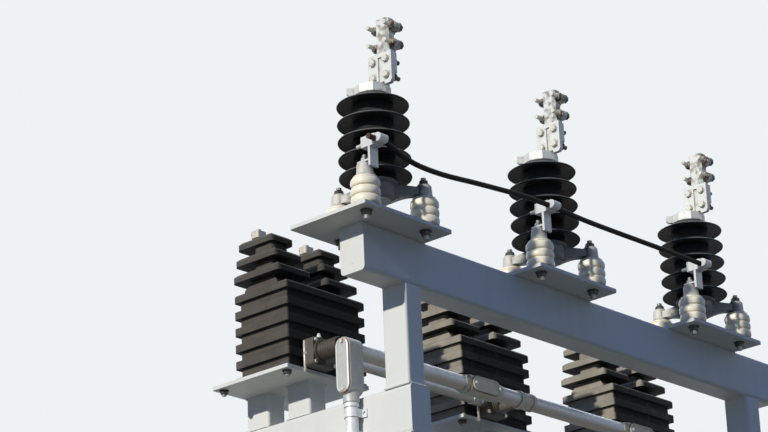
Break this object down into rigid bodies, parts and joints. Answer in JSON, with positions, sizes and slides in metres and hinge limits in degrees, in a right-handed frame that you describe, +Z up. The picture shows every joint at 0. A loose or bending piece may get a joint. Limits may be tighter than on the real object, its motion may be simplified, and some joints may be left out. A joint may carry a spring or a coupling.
{
  "type": "three-phase surge arrester and voltage transformer stand",
  "caption": "Steel tube stand from ground level carrying polymer surge arresters on insulated tripod feet and banded cast-resin voltage transformers.",
  "frame": {"origin": "centre of the overall footprint at ground level", "axes": "+X along the upper rail, +Y from the front legs to the rear legs, +Z up"},
  "size_m": [1.868, 0.882, 4.492],
  "materials": {
    "painted_steel": "satin light grey paint, weathered",
    "galvanised_steel": "dull galvanised",
    "bracket_steel": "dull galvanised",
    "cast_alloy": "sand-cast aluminium, weathered",
    "porcelain": "cream glaze",
    "housing_rubber": "matte black silicone rubber",
    "cast_resin": "weathered dark cast resin",
    "lead_jacket": "dull brown-black jacket"
  },
  "bodies": {
    "root": {"upper_rail": "painted_steel", "post_left": "painted_steel", "post_right": "painted_steel", "arm_left": "painted_steel", "arm_right": "painted_steel", "front_leg_left": "painted_steel", "front_leg_right": "painted_steel", "rear_leg_left": "painted_steel", "rear_leg_right": "painted_steel", "shelf_rail_front": "painted_steel", "shelf_rail_back": "painted_steel", "arrester_plate_1": "painted_steel", "arrester_plate_2": "painted_steel", "arrester_plate_3": "painted_steel", "foot_insulators_1": "porcelain", "foot_insulators_2": "porcelain", "foot_insulators_3": "porcelain", "tripod_base_1": "cast_alloy", "tripod_base_2": "cast_alloy", "tripod_base_3": "cast_alloy", "arrester_housing_1": "housing_rubber", "arrester_housing_2": "housing_rubber", "arrester_housing_3": "housing_rubber", "arrester_cap_1": "cast_alloy", "arrester_cap_2": "cast_alloy", "arrester_cap_3": "cast_alloy", "line_clamp_1": "cast_alloy", "line_clamp_2": "cast_alloy", "line_clamp_3": "cast_alloy", "transformer_stand_1": "painted_steel", "transformer_stand_2": "painted_steel", "transformer_stand_3": "painted_steel", "transformer_1": "cast_resin", "transformer_2": "cast_resin", "transformer_3": "cast_resin", "terminal_box_1": "cast_alloy", "terminal_box_2": "cast_alloy", "terminal_box_3": "cast_alloy", "long_conduit": "galvanised_steel", "drop_conduit": "galvanised_steel", "corner_fitting": "cast_alloy", "line_fittings": "cast_alloy", "earth_lead": "lead_jacket", "lead_brackets": "bracket_steel", "transformer_terminals": "cast_alloy"}
  },
  "joints": []
}
